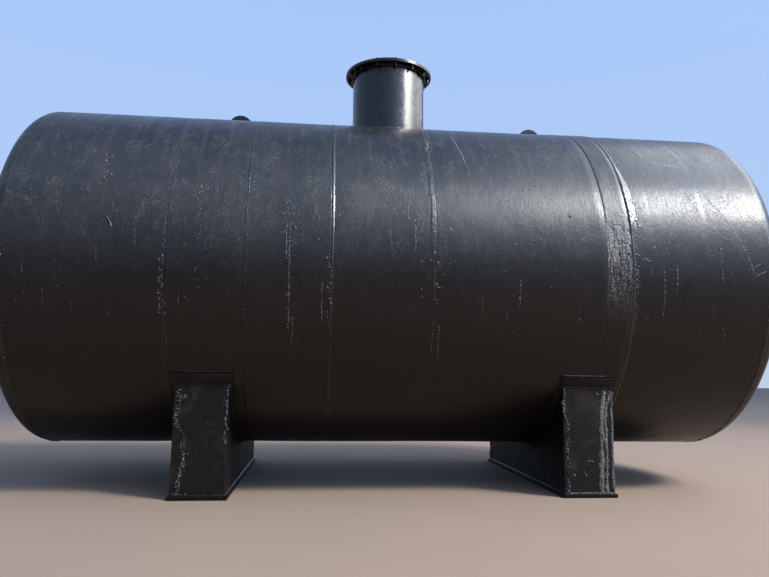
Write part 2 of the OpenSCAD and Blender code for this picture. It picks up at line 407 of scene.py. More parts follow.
def ribbon(mesh, path, width, height, place, k=7, sink=0.003, lean=0.0, power=0.8, lump=0.0, grain=0.006, seed=0, ring=False):
    """A lumpy bead along a path on a surface; ring closes it on itself round the tank."""
    p = np.asarray(path, float)
    n = len(p)
    width = np.broadcast_to(np.asarray(width, float), (n,))
    height = np.broadcast_to(np.asarray(height, float), (n,))
    t = np.tile([0.0, 1.0], (n, 1)) if ring else np.gradient(p, axis=0)
    t = t / np.linalg.norm(t, axis=1)[:, None]
    lat = np.stack([t[:, 1], -t[:, 0]], 1)
    u = np.linspace(-1, 1, k)
    c = np.clip(u - lean * (1 - u * u), -1, 1)
    prof = (1 - np.abs(c) ** 2.2) ** power
    prof[0] = prof[-1] = 0
    a = p[:, None, 0] + lat[:, None, 0] * u * width[:, None] / 2
    b = p[:, None, 1] + lat[:, None, 1] * u * width[:, None] / 2
    s = np.concatenate([[0], np.cumsum(np.linalg.norm(np.diff(p, axis=0), axis=1))])
    f = Field(1000 + seed, 64 if not ring else max(8, int(TAU * R / grain)), 16)
    bump = f(s[:, None] / grain, u * 2.6 + 8)
    h = height[:, None] * prof * (1 + lump * bump)
    top = place(a, b, h)
    low = place(a[:, [k - 1, 0]], b[:, [k - 1, 0]], np.full((n, 2), -sink))
    sec = np.concatenate([top, low], 1)
    base = mesh.grid(sec, wrap_i=ring, wrap_j=True)
    if not ring:
        m = k + 2
        mesh.f.append([base + j for j in range(m)])
        mesh.f.append([base + (n - 1) * m + j for j in range(m)][::-1])


def granules(mesh, a, b, size, place, rng, flat=(0.30, 0.60), long=(0.8, 1.4), sink=0.0006):
    """Low lumps of about the given radii, scattered at (a, b) on a surface."""
    a, b, size = np.atleast_1d(a), np.atleast_1d(b), np.atleast_1d(size)
    n = len(a)
    if n == 0:
        return
    t = np.arange(5) * TAU / 5
    turn = rng.uniform(0, TAU, n)[:, None]
    jag = rng.uniform(0.75, 1.2, (n, 5))
    ca = size[:, None] * np.cos(t + turn) * jag * rng.uniform(0.8, 1.2, n)[:, None]
    cb = size[:, None] * np.sin(t + turn) * jag * rng.uniform(*long, n)[:, None]
    hgt = (size * rng.uniform(*flat, n))[:, None]
    A, B = a[:, None], b[:, None]
    low = place(A + ca, B + cb, np.full((n, 5), -sink))
    mid = place(A + ca * 0.64, B + cb * 0.64, hgt * rng.uniform(0.55, 0.85, (n, 5)))
    top = place(A + 0 * hgt, B + 0 * hgt, hgt)
    verts = np.concatenate([low, mid, top], 1)
    j = np.arange(5)
    k = (j + 1) % 5
    base = (mesh.n + 11 * np.arange(n))[:, None, None]
    quad = np.stack([j, k, 5 + k, 5 + j], -1)[None] + base
    tri = np.stack([5 + j, 5 + k, np.full(5, 10)], -1)[None] + base
    cap = base[:, :, 0] + j[::-1][None]
    mesh.f.extend(quad.reshape(-1, 4).tolist())
    mesh.f.extend(tri.reshape(-1, 3).tolist())
    mesh.f.extend(cap.tolist())
    mesh.v.append(verts.reshape(-1, 3))
    mesh.n += 11 * n


def crumbs(points, every, spread, rng, gap=0.3):
    """Random spots along a path: one per step of every metres, thrown off by spread, with gaps."""
    p = np.asarray(points, float)
    s = np.concatenate([[0], np.cumsum(np.linalg.norm(np.diff(p, axis=0), axis=1))])
    n = max(2, int(s[-1] / every))
    q = np.sort(rng.uniform(0, s[-1], n))
    f = Field(int(rng.integers(1, 10 ** 6)), 64, 2)
    keep = f(q / 0.035, 0.5) * 0.5 + 0.5 > gap
    q = q[keep]
    c = np.stack([np.interp(q, s, p[:, 0]), np.interp(q, s, p[:, 1])], 1)
    return c + rng.normal(0, 1, c.shape) * spread


def resample(points, stepsize, wobble=0.0, seed=0):
    """Smooth path through given points with an even step and a little wander."""
    p = np.asarray(points, float)
    s = np.concatenate([[0], np.cumsum(np.linalg.norm(np.diff(p, axis=0), axis=1))])
    n = max(4, int(s[-1] / stepsize) + 1)
    q = np.linspace(0, s[-1], n)
    out = np.stack([np.interp(q, s, p[:, 0]), np.interp(q, s, p[:, 1])], 1)
    for _ in range(2):
        out[1:-1] = (out[:-2] + 2 * out[1:-1] + out[2:]) / 4
    if wobble:
        f = Field(2000 + seed, 64, 4)
        out[:, 0] += wobble * f(q / 0.03, 0.5) + 0.5 * wobble * f(q / 0.011, 2.5)
    return out


def taper(n, ends=0.12, low=0.15):
    t = np.linspace(0, 1, n)
    return low + (1 - low) * np.minimum(1, np.minimum(t, 1 - t) / ends) ** 0.6


# ---------------------------------------------------------------- shell courses
# per seam: how far the left plate's edge stands up, the right plate's, and the depth of the groove
LIPS = {1: (-0.0006, 0.0015, 0.0012), 2: (-0.0008, 0.0021, 0.0014), 3: (-0.0002, 0.0002, 0.0026), 4: (0.0004, 0.0006, 0.0010), 5: (0.0, 0.0, 0.002), 0: (0, 0.0, 0.0002), 6: (0.0, 0, 0.0002)}


def course_lines(i):
    x0, x1 = SEAMS[i], SEAMS[i + 1]
    n = max(8, round((x1 - x0 - 0.06) / 0.040))
    near = [0.0, 0.0022, 0.0045, 0.009, 0.018]
    return np.array([x0 + d for d in near] + list(np.linspace(x0 + 0.03, x1 - 0.03, n)) + [x1 - d for d in near[::-1]])


def edge_profile(d, lip, groove, seam, phi):
    """Height of a plate's edge, d metres in from the seam; the groove is partly filled with paint."""
    v = phi / TAU
    fill = 0.55 + 0.45 * Field(700 + seam, 4, 34)(0.5, v * 34) + 0.25 * Field(720 + seam, 4, 150)(0.5, v * 150)
    g = np.interp(d, [0.0, 0.0022, 0.0045], [1.0, 0.15, 0.0]) * groove * np.clip(fill, 0.05, 1)
    rise = lip * (0.7 + 0.5 * Field(740 + seam, 4, 60)(0.5, v * 60))
    return np.interp(d, [0.0, 0.0022, 0.0045, 0.009, 0.018, 0.04], [0.0, 0.4, 1.0, 0.8, 0.35, 0.0]) * rise - g


def make_courses():
    nphi = 288
    for i in range(6):
        xs = course_lines(i)
        phi = np.arange(nphi) * TAU / nphi
        X, P = np.meshgrid(xs, phi, indexing="ij")
        e = edge_profile(X - SEAMS[i], LIPS[i][1], LIPS[i][2], i, P) + edge_profile(SEAMS[i + 1] - X, LIPS[i + 1][0], LIPS[i + 1][2], i + 1, P)
        r = R + dent(X, P) + e
        XX = X.copy()
        outer = np.stack([XX, -r * np.sin(P), AX + r * np.cos(P)], -1)
        ri = np.minimum(r, R + 0.002) - WALL
        inner = np.stack([XX, -ri * np.sin(P), AX + ri * np.cos(P)], -1)
        keep = np.ones((len(xs) - 1, nphi), bool)
        if i in (3, 4):
            cx = (xs[:-1, None] + xs[1:, None]) / 2
            cp = phi[None, :] + TAU / nphi / 2
            cy = -R * np.sin(cp)
            keep = ~((np.hypot(cx, cy) < NECK_R) & (np.cos(cp) > 0))
            touch = np.zeros((len(xs), nphi), int)
            for a in (0, 1):
                for b in (0, 1):
                    t = (~keep).astype(int)
                    touch[a:len(xs) - 1 + a] += np.roll(t, b, axis=1)
            cells = np.full((len(xs), nphi), 4)
            cells[0] = cells[-1] = 2
            rim = (touch > 0) & (touch < cells)
            for grid, rr in ((outer, r), (inner, ri)):
                y, x = grid[..., 1][rim], grid[..., 0][rim]
                a = np.arctan2(y, x)
                nx, ny = (NECK_R + 0.0006) * np.cos(a), (NECK_R + 0.0006) * np.sin(a)
                edge_x = (np.abs(x - SEAMS[4]) < 1e-6)
                nx = np.where(edge_x, x, nx)
                ny = np.where(edge_x, np.sign(y) * np.sqrt(np.maximum((NECK_R + 0.0006) ** 2 - x ** 2, 1e-6)), ny)
                grid[..., 0][rim], grid[..., 1][rim] = nx, ny
                grid[..., 2][rim] = AX + np.sqrt(np.maximum(rr[rim] ** 2 - ny ** 2, 0))
        m = Mesh()
        plate(m, outer, inner, keep, True)
        m.finish(f"shell_course_skin_{i + 1}", MAT["shell"], "bitumen_coat", (f"shell_course_{i + 1}",), sharp=50, recalc=False)


# ---------------------------------------------------------------- dished heads
def head_line(shrink, n_k=9, n_c=28):
    """Radius and depth along a head's cross section, from the seam to the middle."""
    a = math.asin((R - KNUCKLE) / (CROWN - KNUCKLE))
    up = math.sqrt((CROWN - KNUCKLE) ** 2 - (R - KNUCKLE) ** 2)
    k = np.linspace(0, math.pi / 2 - a, n_k)
    c = np.linspace(a, 0.006, n_c)[1:]
    kr, cr = KNUCKLE - shrink, CROWN - shrink
    r = np.concatenate([R - KNUCKLE + kr * np.cos(k), cr * np.sin(c)])
    d = np.concatenate([kr * np.sin(k), -up + cr * np.cos(c)])
    return r, d


def make_heads():
    n = 216
    th = np.arange(n) * TAU / n
    for side, name in ((-1, "left"), (1, "right")):
        wide, tight = Field(40 + side, 12, 14), Field(44 + side, 40, 46)
        grids = []
        for shrink in (0.0, WALL):
            r, d = head_line(shrink)
            rr, tt = np.meshgrid(r, th, indexing="ij")
            dd = np.repeat(d[:, None], n, 1)
            fade = step(R - rr, 0.0, 0.10) * step(rr, 0.02, 0.35)
            w = (0.0016 * wide(rr / 0.3, tt / TAU * 14) + 0.0006 * tight(rr / 0.09, tt / TAU * 46)) * fade
            x = side * (HALF + dd + w)
            grids.append(np.stack([x, -rr * np.sin(tt), AX + rr * np.cos(tt)], -1))
        m = Mesh()
        outer, inner = grids
        if side < 0:
            outer, inner = outer[:, ::-1], inner[:, ::-1]
        b0 = m.grid(outer, wrap_j=True)
        b1 = m.grid(inner[::-1], wrap_j=True)
        ni = outer.shape[0]
        m.f.append([b0 + (ni - 1) * n + j for j in range(n)])
        m.f.append([b1 + j for j in range(n)])
        for j in range(n):
            j2 = (j + 1) % n
            m.f.append([b0 + j, b0 + j2, b1 + (ni - 1) * n + j2, b1 + (ni - 1) * n + j])
        m.finish(f"head_skin_{name}", MAT["head"], "head_coat", (f"head_{name}",), sharp=50)


# ---------------------------------------------------------------- weld rings
def ring_path(x0, wander, seed, n=1160):
    th = np.arange(n) * TAU / n
    f, g = Field(300 + seed, 4, 60), Field(320 + seed, 4, 260)
    x = x0 + wander * (f(0.5, th / TAU * 60) + 0.4 * g(0.5, th / TAU * 260))
    return np.stack([x, th * R], 1), th


def make_rings():
    m = Mesh()
    front = lambda th: np.minimum(th, TAU - th)
    # first and second seam: low, partly filled, a little prouder on the lower half
    p, th = ring_path(SEAMS[1] - 0.0062, 0.0012, 1, 900)
    down = step(np.degrees(front(th)), 74, 88)
    w = 0.0065 * (1 + 0.25 * Field(351, 2, 90)(0.5, th / TAU * 90))
    h = (0.0003 + 0.0003 * down) * (1 + 0.9 * Field(352, 2, 120)(0.5, th / TAU * 120))
    ribbon(m, p, w, h, on_shell, k=5, lump=0.4, seed=1, ring=True)
    p, th = ring_path(SEAMS[2] + 0.0085, 0.0016, 2, 900)
    w = 0.009 * (1 + 0.3 * Field(353, 2, 90)(0.5, th / TAU * 90))
    h = (0.0012 - 0.0007 * down) * (1 + 0.9 * Field(354, 2, 120)(0.5, th / TAU * 120))
    ribbon(m, p, w, h, on_shell, k=5, lump=0.4, seed=2, ring=True)
    # third seam: a narrow proud bead beside a groove
    p, th = ring_path(SEAMS[3] + 0.0095, 0.0012, 3, 1160)
    up = 1 - 0.55 * step(np.degrees(front(th)), 78, 86) - 0.33 * step(np.degrees(front(th)), 86, 108)
    w = 0.0175 * (1 + 0.14 * Field(355, 2, 160)(0.5, th / TAU * 160)) * (0.55 + 0.45 * up)
    h = 0.0040 * up * (1 + 0.25 * Field(356, 2, 200)(0.5, th / TAU * 200))
    ribbon(m, p, w, h, on_shell, k=7, lump=0.30, seed=3, lean=-0.35, ring=True)
    m.finish("ring_seam_beads", MAT["ring"], "bitumen_coat")

    # fourth seam: a flat smeared strip left of a shallow groove
    m = Mesh()
    p, th = ring_path(SEAMS[4] - 0.0170, 0.0020, 4, 1160)
    w = 0.034 * (1 + 0.25 * Field(357, 2, 110)(0.5, th / TAU * 110))
    h = 0.0013 * (1 + 0.7 * Field(358, 2, 150)(0.5, th / TAU * 150)) * (1 - 0.60 * step(np.degrees(front(th)), 80, 96))
    ribbon(m, p, w, h, on_shell, k=7, lump=0.7, grain=0.009, lean=-0.5, power=0.8, seed=4, ring=True)
    m.finish("ring_seam_smear", MAT["shell"], "bitumen_coat")

    # thin pale films wiped over the coat near the right end
    m = Mesh()
    for pts, wide in (([(1.500, 36.0), (1.530, 41.0), (1.560, 47.0), (1.610, 51.0)], 0.034), ([(1.590, 49.5), (1.650, 51.5), (1.710, 51.4), (1.780, 52.8)], 0.044)):
        for side in (-1, 1):
            q = resample([(x, side * math.radians(a) * R) for x, a in pts], 0.007, 0.004, 17)
            n = len(q)
            ribbon(m, q, wide * taper(n, 0.4, 0.2) * (0.6 + 0.4 * broken(n, 31, 0.6, 4.0)), 0.0010 * taper(n, 0.4, 0.3), on_shell, k=9, lump=0.8, grain=0.008, seed=44, sink=0.0015, power=1.2)
    m.finish("wiped_films", MAT["smear"], "bitumen_coat")

    m = Mesh()
    rng = np.random.default_rng(65)
    for x0, s in ((-HALF, 5), (HALF, 6)):
        p, th = ring_path(x0, 0.0015, s, 700)
        low = step(np.degrees(front(th)), 86, 110)
        w = (0.008 + 0.008 * low) * (1 + 0.22 * Field(360 + s, 2, 180)(0.5, th / TAU * 180))
        h = (-0.0010 + 0.0036 * low) * (1 + 0.30 * Field(370 + s, 2, 240)(0.5, th / TAU * 240))
        ribbon(m, p, w, h, on_shell, k=7, lump=0.4, seed=s, ring=True)
        for side in (-1, 1):
            b = np.radians(rng.uniform(88, 178, 330)) * R
            granules(m, x0 + rng.normal(0, 0.005, 330), side * b, rng.gamma(3, 0.0009, 330) + 0.0012, on_shell, rng, flat=(0.4, 0.8))
    m.finish("head_seam_beads", MAT["bead"], "head_coat")

    # the band's left edge: the shell rises gently to a lap and falls to the band in a broad slope
    m = Mesh()
    n = 1160
    th = np.arange(n) * TAU / n
    deg = np.degrees(front(th))
    f, g = Field(384, 4, 70), Field(385, 4, 300)
    edge = BAND[0] + 0.0016 * f(0.5, th / TAU * 70) + 0.0008 * g(0.5, th / TAU * 300)
    low = step(deg, 74, 84)
    out = step(deg, 124.0, 126.0)
    crest = (0.0021 * (1 - 0.45 * low) * (1 + 0.25 * Field(386, 4, 120)(0.5, th / TAU * 120))) * (1 - out) + 0.0005
    shape = [(-0.215, 0.0), (-0.175, 0.08), (-0.135, 0.28), (-0.095, 0.57), (-0.065, 0.82), (-0.050, 0.95), (-0.0425, 1.0), (-0.035, 0.93), (-0.024, 0.68), (-0.012, 0.36), (-0.003, 0.12), (0.0025, -0.05)]
    scale = (1 - 0.25 * low - 0.35 * out)[:, None]
    a = edge[:, None] + np.array([s[0] for s in shape])[None] * scale
    b = np.repeat(th[:, None] * R, len(shape), 1)
    near = np.array([0, 0, 0, 0, 0.3, 0.7, 1, 1, 1, 1, 0.5, 0])[None]
    bump = 1 + 0.12 * near * Field(387, 64, 700)(a / 0.010, b / 0.012 + 4)
    top = on_shell(a, b, crest[:, None] * np.array([s[1] for s in shape])[None] * bump)
    under = on_shell(a[:, [-1, 0]], b[:, [-1, 0]], np.full((n, 2), -0.003))
    m.grid(np.concatenate([top, under], 1), wrap_i=True, wrap_j=True)
    m.finish("band_lap_edge", MAT["shell"], "bitumen_coat", sharp=45)

    # the band's right edge: a thick folded bead, steep on its left and gentle on its right
    m = Mesh()
    p, th = ring_path(BAND[1], 0.0020, 8, 1744)
    n = len(th)
    deg = np.degrees(front(th))
    thick = step(deg, 51, 66) * (1 - step(deg, 76, 82))
    chunk = Field(382, 2, 150)(0.5, th / TAU * 150)
    crest = 0.0050 - 0.0024 * step(deg, 98, 116) + 0.0036 * thick + 0.0012 * chunk * (0.4 + 0.6 * thick)
    wide = 0.24 + 0.72 * thick * (1 + 0.30 * Field(383, 2, 110)(0.5, th / TAU * 110))
    left = [(-0.0155, 0.0), (-0.0105, 0.14), (-0.0070, 0.55), (-0.0035, 0.92)]
    right = [(0.0000, 1.0), (0.0050, 0.93), (0.0110, 0.79), (0.0170, 0.62), (0.0230, 0.46), (0.0290, 0.30), (0.0350, 0.16), (0.0410, 0.04), (0.0460, -0.06)]
    a = np.concatenate([np.repeat(np.array([[s[0] for s in left]]), n, 0), np.array([s[0] for s in right])[None] * wide[:, None]], 1) + p[:, :1]
    b = np.repeat(th[:, None] * R, a.shape[1], 1)
    lo = 0.0020
    hl = lo + (crest[:, None] - lo) * np.array([s[1] for s in left])[None]
    hr = crest[:, None] * np.array([s[1] for s in right])[None]
    fold = Field(388, 64, 900)(a / 0.009, b / 0.016 + 9) + 0.6 * Field(389, 64, 1800)(a / 0.0045, b / 0.0065 + 3)
    live = np.array([0, 0.2, 0.5, 0.8, 1, 1, 1, 1, 1, 1, 0.8, 0.4, 0])[None]
    h = np.concatenate([hl, hr], 1) + 0.00110 * fold * live * (0.40 + 0.60 * thick)[:, None]
    top = on_shell(a, b, h)
    under = on_shell(a[:, [-1, 0]], b[:, [-1, 0]], np.full((n, 2), -0.003))
    m.grid(np.concatenate([top, under], 1), wrap_i=True, wrap_j=True)
    for side in (-1, 1):
        for lo_deg, hi_deg, count, off, wid in ((72, 112, 260, 0.012, 0.010), (62, 84, 160, 0.034, 0.018), (44, 72, 60, 0.020, 0.012)):
            b = np.radians(rng.uniform(lo_deg, hi_deg, count)) * R
            granules(m, BAND[1] + off + rng.normal(0, wid, count), side * b, rng.gamma(3, 0.0009, count) + 0.0014, lambda a, b, h: on_shell(a, b, h + 0.0004), rng, flat=(0.10, 0.24), long=(0.8, 2.0), sink=0.001)
    # torn folds of paint on the right part of the band
    for side in (-1, 1):
        for i in range(34):
            deg0 = rng.uniform(71, 96)
            x0 = BAND[1] - 0.026 - abs(rng.normal(0, 0.030)) * (0.5 + (96 - deg0) / 25)
            ln = rng.uniform(0.018, 0.050)
            turn = rng.normal(0.30, 0.25)
            q = resample([(x0, 0.0), (x0 + 0.5 * ln * math.sin(turn) + rng.normal(0, 0.002), 0.5 * ln), (x0 + ln * math.sin(turn), ln)], 0.005, 0.0012, 70 + i)
            q[:, 1] = side * (math.radians(deg0) * R + q[:, 1])
            n = len(q)
            ribbon(m, q, rng.uniform(0.004, 0.010) * taper(n, 0.4, 0.2), rng.uniform(0.0012, 0.0034) * taper(n, 0.4, 0.2), lambda a, b, h: on_shell(a, b, h + 0.0036), k=5, lump=0.5, seed=400 + i, sink=0.004)
    m.finish("band_weld_bead", MAT["ring"], "band_coat", sharp=60)

    # crumbs and dashes along the ring seams
    m = Mesh()
    for i, off, lo, hi, count in ((1, -0.008, 52, 108, 120), (2, 0.010, 28, 112, 150), (3, 0.008, 76, 112, 110), (4, -0.016, 40, 118, 160)):
        for side in (-1, 1):
            deg = rng.uniform(lo, hi, count)
            gate = Field(800 + i, 64, 2)(deg / 2.2, 0.5) > -0.25
            deg = deg[gate]
            granules(m, SEAMS[i] + off + rng.normal(0, 0.0035, len(deg)), side * np.radians(deg) * R, rng.gamma(3, 0.0006, len(deg)) + 0.0010, on_shell, rng, flat=(0.3, 0.6), long=(1.0, 2.4))
    m.finish("ring_seam_crumbs", MAT["speck"], "bitumen_coat")


def make_band():
    """The plate ring over the fifth seam, with its rough lower part, whose pale film is partly a painted highlight."""
    f1, f2, f3 = Field(401, 64, 512), Field(402, 64, 1024), Field(403, 8, 700)
    m = Mesh()
    a = math.pi - WEAR_A
    fine = np.concatenate([[0.0, 0.03, 0.06], np.linspace(0.10, 0.84, 17), [0.88, 0.92, 0.96, 1.0]])
    for lo, hi, x0, x1, t in ((-a, a, BAND[0], BAND[1], fine), (a, TAU - a, SADDLE_X + WEAR_W / 2, BAND[1], np.linspace(0, 1, 6))):
        nx = len(t)
        n = int((hi - lo) * R / 0.0085)
        phi = np.linspace(lo, hi, n)
        fr = np.abs(phi) if lo < 0 else np.abs(TAU - phi) * 0 + a
        rough = step(np.degrees(fr), 71, 80)
        ragged = -0.009 * rough * np.abs(f3(0.5, phi * R / 0.018 + 300)) - 0.004 * rough
        if lo > 0:
            ragged = ragged * 0
        X = (x0 + ragged)[None, :] + t[:, None] * (x1 - x0 - ragged)[None, :]
        P = np.repeat(phi[None, :], nx, 0)
        rg = (0.10 + 0.90 * rough)[None, :]
        bump = (0.0011 * f1(X / 0.014, P * R / 0.045 + 40) + 0.0009 * f2(X / 0.008, P * R / 0.018 + 80)) * rg
        # a small step up at its left edge, then a gentle rise to a shallow furrow beside the right bead
        s = X - X[:1]
        wall = 0.0024 * (1 - 0.7 * rough)[None, :]
        if lo > 0:
            h = BAND_T + 0 * s
        else:
            h = 0.0003 + wall * np.clip(s / 0.009, 0, 1) + (BAND_T - 0.0003 - wall) * np.clip((s - 0.009) / 0.110, 0, 1) + bump * np.clip(s / 0.009, 0.3, 1)
        h = h - 0.0026 * step(X, BAND[1] - 0.028, BAND[1] - 0.014)
        h = np.maximum(h, -0.0008)
        r = R + dent(X, P) * 0.6 + h
        outer = np.stack([X, -r * np.sin(P), AX + r * np.cos(P)], -1)
        ri = np.full_like(P, R - 0.0015)
        inner = np.stack([X, -ri * np.sin(P), AX + ri * np.cos(P)], -1)
        plate(m, outer, inner, np.ones((nx - 1, n - 1), bool), False)
    m.finish("joint_band_skin", MAT["band"], "band_coat", ("joint_band",), sharp=60)


# ---------------------------------------------------------------- manway
def make_neck():
    n, nz = 180, 26
    th = np.arange(n) * TAU / n
    z = np.linspace(TOP - 0.060, COVER_Z, nz)
    Z, T = np.meshgrid(z, th, indexing="ij")
    f, g = Field(501, 16, 12), Field(502, 32, 30)
    w = (0.0007 * f(Z / 0.16, T / TAU * 12) + 0.00025 * g(Z / 0.05, T / TAU * 30)) * step(Z, z[0], z[0] + 0.05) * step(-Z, -FLANGE_Z, -FLANGE_Z + 0.03)
    ro, ri = NECK_R + w, NECK_R - 0.010 + w * 0
    outer = np.stack([ro * np.cos(T), ro * np.sin(T), Z], -1)
    inner = np.stack([ri * np.cos(T), ri * np.sin(T), Z], -1)
    m = Mesh()
    plate(m, outer, inner, np.ones((nz - 1, n), bool), True)
    m.finish("manway_neck_skin", MAT["neck"], "neck_coat", ("manway_neck",), sharp=50)

    # fillet weld between neck and shell, and a small one under the flange
    m = Mesh()
    n, k = 380, 9
    t = np.arange(n) * TAU / n
    leg = 0.017 * (1 + 0.18 * Field(503, 2, 90)(0.5, t / TAU * 90))
    rip = 0.0007 * Field(504, 2, 260)(0.5, t / TAU * 260)
    u = np.linspace(0, math.pi / 2, k)
    sec = np.zeros((n, k + 1, 3))
    for j, a in enumerate(u):
        out, up = leg * (1 - math.sin(a)) + rip * math.sin(2 * a), leg * (1 - math.cos(a)) + rip * math.sin(2 * a)
        r = NECK_R + out + (0.0 if j < k - 1 else -0.001)
        x, y = r * np.cos(t), r * np.sin(t)
        s = np.sqrt(R ** 2 - y ** 2)
        base = AX + s + dent(x, -np.arcsin(y / R))
        sec[:, j] = np.stack([x, y, base + up - (0.0015 if j == 0 else 0)], -1)
    x, y = (NECK_R - 0.002) * np.cos(t), (NECK_R - 0.002) * np.sin(t)
    sec[:, k] = np.stack([x, y, AX + np.sqrt(R ** 2 - y ** 2) - 0.004], -1)
    m.grid(sec, wrap_i=True, wrap_j=True)
    leg = 0.007 * (1 + 0.15 * Field(505, 2, 120)(0.5, t / TAU * 120))
    sec = np.zeros((n, 6, 3))
    for j, a in enumerate(np.linspace(0, math.pi / 2, 5)):
        r = NECK_R + leg * (1 - math.sin(a)) - (0.001 if j == 4 else 0)
        sec[:, j] = np.stack([r * np.cos(t), r * np.sin(t), FLANGE_Z - leg * (1 - math.cos(a)) + (0.0006 if j == 0 else 0)], -1)
    sec[:, 5] = np.stack([(NECK_R - 0.002) * np.cos(t), (NECK_R - 0.002) * np.sin(t), np.full(n, FLANGE_Z + 0.002)], -1)
    m.grid(sec, wrap_i=True, wrap_j=True)
    m.finish("manway_welds", MAT["bead"], "neck_coat")


def prism(mesh, cx, cy, z0, z1, r, sides, turn=0.0, chamfer=0.0, top=1):
    """Upright prism with its rim taken off at the top (1) or the bottom (-1)."""
    t = np.arange(sides) * TAU / sides + turn
    if top > 0:
        line = [(z0, r), (z1 - chamfer, r), (z1, r - chamfer)]
    else:
        line = [(z0, r - chamfer), (z0 + chamfer, r), (z1, r)]
    v = np.stack([np.stack([cx + rr * np.cos(t), cy + rr * np.sin(t), np.full(sides, z)], -1) for z, rr in line])
    base = mesh.grid(v, wrap_j=True)
    mesh.f.append([base + j for j in range(sides)][::-1])
    mesh.f.append([base + 2 * sides + j for j in range(sides)])


def make_bolts():
    m = Mesh()
    rng = np.random.default_rng(61)
    rb = 0.2925
    for i in range(14):
        a = (i + 0.5) * TAU / 14 + math.radians(4)
        cx, cy = rb * math.cos(a), rb * math.sin(a)
        prism(m, cx, cy, COVER_TOP - 0.0005, COVER_TOP + 0.0028, 0.0150, 24, 0, 0.0006)
        prism(m, cx, cy, COVER_TOP + 0.0022, COVER_TOP + 0.0122, 0.01386, 6, rng.uniform(0, 1), 0.0016)
        prism(m, cx, cy, FLANGE_Z - 0.0028, FLANGE_Z + 0.0005, 0.0150, 24, 0, 0.0006, top=-1)
        prism(m, cx, cy, FLANGE_Z - 0.0155, FLANGE_Z - 0.0022, 0.01386, 6, rng.uniform(0, 1), 0.0016, top=-1)
        prism(m, cx, cy, FLANGE_Z - 0.0240 - rng.uniform(0, 0.006), FLANGE_Z - 0.0150, 0.0078, 16, 0, 0.0010, top=-1)
    m.finish("cover_bolts", MAT["bolt"], "flange_coat", sharp=25)


# ---------------------------------------------------------------- lugs and saddles
def make_lug_welds():
    m = Mesh()
    rng = np.random.default_rng(71)
    for s, xc in ((0, -LUG_X), (1, LUG_X)):
        for side in (-1, 1):
            p = resample([(xc - LUG_R - 0.004, side * -(LUG_T / 2 + 0.003)), (xc + LUG_R + 0.004, side * -(LUG_T / 2 + 0.003))], 0.004, 0.0, 11 + s)
            n = len(p)
            ribbon(m, p, 0.016 * (1 + 0.2 * rng.uniform(-1, 1, n)) * taper(n, 0.05, 0.6), 0.0085 * taper(n, 0.05, 0.5), on_shell, k=7, lump=0.35, seed=20 + s, power=0.9)
        for e in (-1, 1):
            p = np.stack([np.full(8, xc + e * (LUG_R + 0.003)), np.linspace(-0.014, 0.014, 8)], 1)
            ribbon(m, p, 0.014, 0.008 * taper(8, 0.2, 0.4), on_shell, k=7, lump=0.3, seed=30 + s)
    m.finish("lug_welds", MAT["bead"], "lug_coat")


def broken(n, seed, share=0.8, cell=9.0):
    """0 to 1 along a bead that comes and goes."""
    f = Field(3000 + seed, 64, 4)
    s = np.arange(n) / cell
    return np.clip(0.5 + (f(s, 0.5) + (2 * share - 1)) * 1.6, 0.10, 1)


# path on the front plate in mm, width and height of the bead in mm, share of it that is there, kind
LEFT_BEADS = [
    ([(-125, 610), (-120, 560), (-127, 505), (-138, 467), (-145, 452), (-131, 428), (-117, 405), (-104, 378), (-92, 345), (-90, 300), (-86, 262), (-91, 203), (-84, 176), (-102, 155), (-95, 140), (-112, 98), (-104, 28)], 22, 2.4, 0.70, "crust"),
    ([(-148, 640), (-146, 560), (-147, 470), (-148, 380), (-146, 250), (-148, 120), (-146, 24)], 8, 1.8, 0.40, "dark"),
    ([(147, 634), (148, 600), (144, 560), (143, 510), (146, 465), (131, 442), (148, 388), (133, 358), (143, 320)], 12, 2.2, 0.65, "crust"),
    ([(145, 300), (147, 220), (146, 120), (148, 60), (150, 24)], 8, 1.8, 0.40, "dark"),
    ([(-132, 567), (-112, 567), (-96, 569), (-66, 566)], 18, 2.4, 0.9, "crust"),
    ([(-135, 30), (-118, 34), (-104, 28), (-80, 22)], 18, 2.6, 0.9, "crust"),
    ([(-70, 12), (-62, 24), (-56, 36)], 9, 2.4, 0.9, "crust"),
]
RIGHT_BEADS = [
    ([(103, 622), (88, 510), (80, 420), (87, 350), (75, 294), (78, 205), (76, 120), (73, 24)], 26, 5.0, 0.95, "ridge"),
    ([(132, 600), (129, 566), (111, 515), (105, 444), (109, 380), (110, 324), (109, 205), (107, 120), (107, 24)], 15, 4.4, 0.9, "ridge"),
    ([(140, 622), (148, 590), (148, 516), (147, 444), (148, 384), (146, 264), (143, 146), (148, 57), (146, 24)], 12, 4.0, 0.9, "ridge"),
    ([(-146, 636), (-147, 560), (-145, 480), (-132, 436), (-122, 415), (-125, 360), (-132, 300), (-131, 247), (-126, 205), (-133, 120), (-126, 24)], 13, 2.8, 0.6, "crust"),
    ([(-128, 22), (-90, 25), (-52, 23), (-15, 26), (30, 23), (66, 25), (105, 23), (145, 22)], 13, 3.0, 0.8, "crust"),
    ([(52, 612), (58, 606), (64, 600)], 12, 2.4, 0.9, "crust"),
    ([(-8, 205), (4, 211), (16, 209), (24, 203)], 7, 1.6, 0.9, "crust"),
    ([(-100, 133), (-92, 127), (-84, 120)], 8, 1.6, 0.9, "crust"),
    ([(-30, 150), (-24, 136), (-16, 124)], 6, 1.4, 0.9, "crust"),
]


